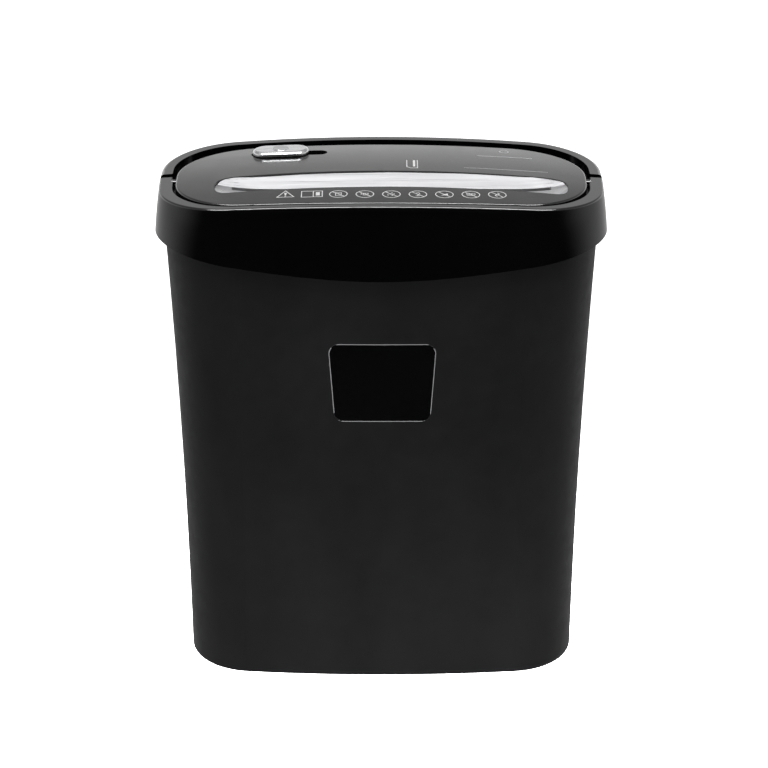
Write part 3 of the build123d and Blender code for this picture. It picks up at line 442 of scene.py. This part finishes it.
finishes["print_white"] = moulded("print_white", (0.78, 0.78, 0.78), 0.45, 0.000004, 3000.0, 1.05)
finishes["print_grey"] = moulded("print_grey", (0.33, 0.33, 0.34), 0.4, 0.000004, 3000.0, 1.1)
# Pale grey of the painted highlight along the window frame's edge
finishes["painted_highlight_grey"] = moulded("painted_highlight_grey", (0.17, 0.17, 0.175), 0.4, 0.000004, 3000.0, 1.1)

plate = surface_tree("control_panel")
entry_low, entry_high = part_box("slot_insert")
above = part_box("control_panel")[1].z + 50 * MM


def downwards(point):
    """Ray straight down at a 2-D point."""
    return (point[0], point[1], above), (0, 0, -1)


LINE = 0.62 * MM
FINE = 0.5 * MM
MARK_LIFT, MARK_SINK = 0.06 * MM, 0.08 * MM    # above and below the plate
mark_pitch = 18.63 * MM
mark_radius = 6.2                       # in millimetres, like the points of the signs
mark_count = 9
row_gap = 14.2 * MM                     # from the scoop to the middle of the row
row_radius = 850 * MM                   # bend of the row
entry_centre = (entry_low.x + entry_high.x) / 2
entry_front = entry_low.y + 3.4 * MM    # front edge of the scoop at its middle


def row_place(i):
    """Centre of a mark in the row that follows the scoop's front edge."""
    across = (i - (mark_count - 1) / 2) * mark_pitch
    return entry_centre + across, entry_front - row_gap + across**2 / (2 * row_radius)


def sheet_glyph(draw, x, y):
    draw.line(moved([(-2, -2.6), (2, -2.6), (2, 2.6), (-2, 2.6)], x, y), FINE, True)
    draw.line(moved([(-1, 0.8), (1, 0.8)], x, y), FINE)


def loop_glyph(draw, x, y):
    coil = [(-2.6, -1), (-2.6, 1.6), (2.2, 1.6), (2.2, -1.8), (-1.2, -1.8), (-1.2, 0.3), (1, 0.3)]
    draw.line(moved(coil, x, y), FINE)


def dots_glyph(draw, x, y):
    for px, py in ((-2, 1.8), (0.4, 2.2), (-0.8, 0), (1.8, 0.2), (-2.4, -1.6), (0.6, -2.1)):
        draw.patch(moved(ring(px, py, 0.62, 10), x, y))


def pin_glyph(draw, x, y):
    draw.line(moved(ring(0, 1.5, 1.3, 16), x, y), FINE, True)
    draw.line(moved([(0, 0.2), (0, -3)], x, y), FINE)
    draw.line(moved([(-1.6, -3), (1.6, -3)], x, y), FINE)


def wedge_glyph(draw, x, y):
    draw.patch(moved([(-2.6, -1.8), (2.4, -1.8), (2.4, 1.9)], x, y))


def rollers_glyph(draw, x, y):
    for px in (-1.7, 1.7):
        draw.line(moved(ring(px, 0.9, 1.4, 16), x, y), FINE, True)
    draw.line(moved([(-3, -1.8), (3, -1.8)], x, y), FINE)


def wave_glyph(draw, x, y):
    wave = [(1.5 * math.sin(k * 0.7), 2.9 - k * 0.64) for k in range(10)]
    draw.line(moved(wave, x, y), 0.75 * MM)


def crossed_mark(draw, x, y, glyph):
    """Circle with a diagonal bar over a plain geometric sign."""
    draw.line(moved(ring(0, 0, mark_radius), x, y), LINE, True)
    slant = mark_radius * math.sqrt(0.5)
    draw.line(moved([(-slant, slant), (slant, -slant)], x, y), LINE)
    glyph(draw, x, y)


def row_of_marks():
    """Row of generic marks between the scoop and the front rim."""
    draw = Inlay(plate, MARK_LIFT, MARK_SINK, downwards)
    x, y = row_place(0)
    draw.line(moved([(-6, -5.8), (6, -5.8), (0, 5.8)], x, y), LINE, True)
    draw.patch(moved([(-0.9, 2), (-0.45, -2.4), (0.45, -2.4), (0.9, 2)], x, y))
    draw.patch(moved(ring(0, -3.9, 0.7, 10), x, y))
    x, y = row_place(1)
    draw.line(moved([(-7.3, -5.4), (7.3, -5.4), (7.3, 5.4), (-7.3, 5.4)], x, y), LINE, True)
    draw.line(moved([(1, -5.4), (1, 5.4)], x, y), LINE)
    draw.patch(moved([(2.8, -3), (5.6, -3), (5.6, 3), (2.8, 3)], x, y))
    glyphs = (sheet_glyph, loop_glyph, dots_glyph, pin_glyph, wedge_glyph, rollers_glyph, wave_glyph)
    for i, glyph in enumerate(glyphs, 2):
        crossed_mark(draw, *row_place(i), glyph)
    draw.finish("plate_marks", "head", "print_white")


def plate_lines():
    """Paper sign behind the scoop, and plain lines at the right instead of any name."""
    draw = Inlay(plate, MARK_LIFT, MARK_SINK, downwards)
    x, y = entry_centre + 15 * MM, entry_high.y + 15.7 * MM
    draw.line(moved([(-3.8, 9), (-3.8, -6.6), (-1, -9), (3.8, -9), (3.8, 9)], x, y), LINE)
    draw.patch(moved([(0.6, -5.6), (2.2, -5.6), (2.2, 8.6), (0.6, 8.6)], x, y))
    draw.finish("paper_sign", "head", "print_white")
    draw = Inlay(plate, MARK_LIFT, MARK_SINK, downwards)
    x = entry_high.x - 43 * MM
    draw.line([(x - 30 * MM, entry_high.y + 9.6 * MM), (x + 30 * MM, entry_high.y + 7.4 * MM)], 1.0 * MM)
    draw.line([(x - 20 * MM, entry_high.y + 39 * MM), (x + 20 * MM, entry_high.y + 38 * MM)], 1.6 * MM)
    draw.line(ring(x, entry_high.y + 52 * MM, 3.2 * MM, 28), 1.1 * MM, True)
    draw.finish("plate_rules", "head", "print_grey")


row_of_marks()
plate_lines()

# ---- Painted highlight round the window's edge

bin_front = surface_tree("bin_shell", "bin_window")
window_low, window_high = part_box("bin_window")


def forwards(point):
    """Ray towards the back at a 2-D point in the X-Z plane."""
    return (point[0], -0.3, point[1]), (0, 1, 0)


def painted_window_highlight():
    """Thin pale line in the joint between the window and the bin: a painted highlight of the window frame's
    edge.
    """
    grow = 0.62 * MM       # from the pane's edge to the middle of the line
    taper = 4.3 * MM
    corner = 7.2 * MM
    width, lift, sink = 0.5 * MM, 0.12 * MM, 0.3 * MM
    low, high = window_low.z - grow, window_high.z + grow
    left, right = window_low.x - grow, window_high.x + grow
    corners = [(left + taper, low), (right - taper, low), (right, high), (left, high)]
    draw = Inlay(bin_front, lift, sink, forwards)
    draw.line(rounded(corners, corner), width, True)
    draw.finish("painted_window_highlight", "bin", "painted_highlight_grey")


painted_window_highlight()

# ---- Rolled bead under the skirt's lower edge


def tube(path, radius, sides=8):
    """Closed round tube through the path's points."""
    made = bmesh.new()
    count = len(path)
    rings = []
    for i, at in enumerate(path):
        along = (path[(i + 1) % count] - path[i - 1]).normalized()
        across = along.cross(Vector((0, 0, 1))).normalized()
        up = across.cross(along)
        rings.append([
            made.verts.new(at + (across * math.cos(a) + up * math.sin(a)) * radius)
            for a in (2 * math.pi * k / sides for k in range(sides))
        ])
    for one, two in zip(rings, rings[1:] + rings[:1]):
        for k in range(sides):
            made.faces.new((one[k], one[(k + 1) % sides], two[(k + 1) % sides], two[k]))
    bmesh.ops.recalc_face_normals(made, faces=made.faces[:])
    return made


def skirt_bead():
    """Small bead that follows the skirt's lower edge, found by halving the height of inward rays."""
    skirt = surface_tree("head_housing")
    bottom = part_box("head_housing")[0].z
    radius, inset, lift = 0.45 * MM, 0.3 * MM, 0.1 * MM
    ray_start = 300 * MM
    least_reach = 60 * MM    # a hit nearer to the middle isn't the skirt
    ring_count, halvings = 300, 16
    path = []
    for k in range(ring_count):
        angle = 2 * math.pi * k / ring_count
        out = Vector((math.cos(angle), 0.5 * math.sin(angle), 0.0)).normalized()
        start = out * ray_start
        z_low, z_high = bottom - 1 * MM, bottom + 30 * MM
        for _ in range(halvings):
            z = (z_low + z_high) / 2
            hit = onto(skirt, (start.x, start.y, z), -out)
            if hit is not None and hit[0].dot(out) > least_reach:
                z_high, best = z, hit[0]
            else:
                z_low = z
        path.append(best - out * inset + Vector((0, 0, lift)))
    piece(tube(path, radius), "skirt_bead", "head", "gloss_black", True)


skirt_bead()
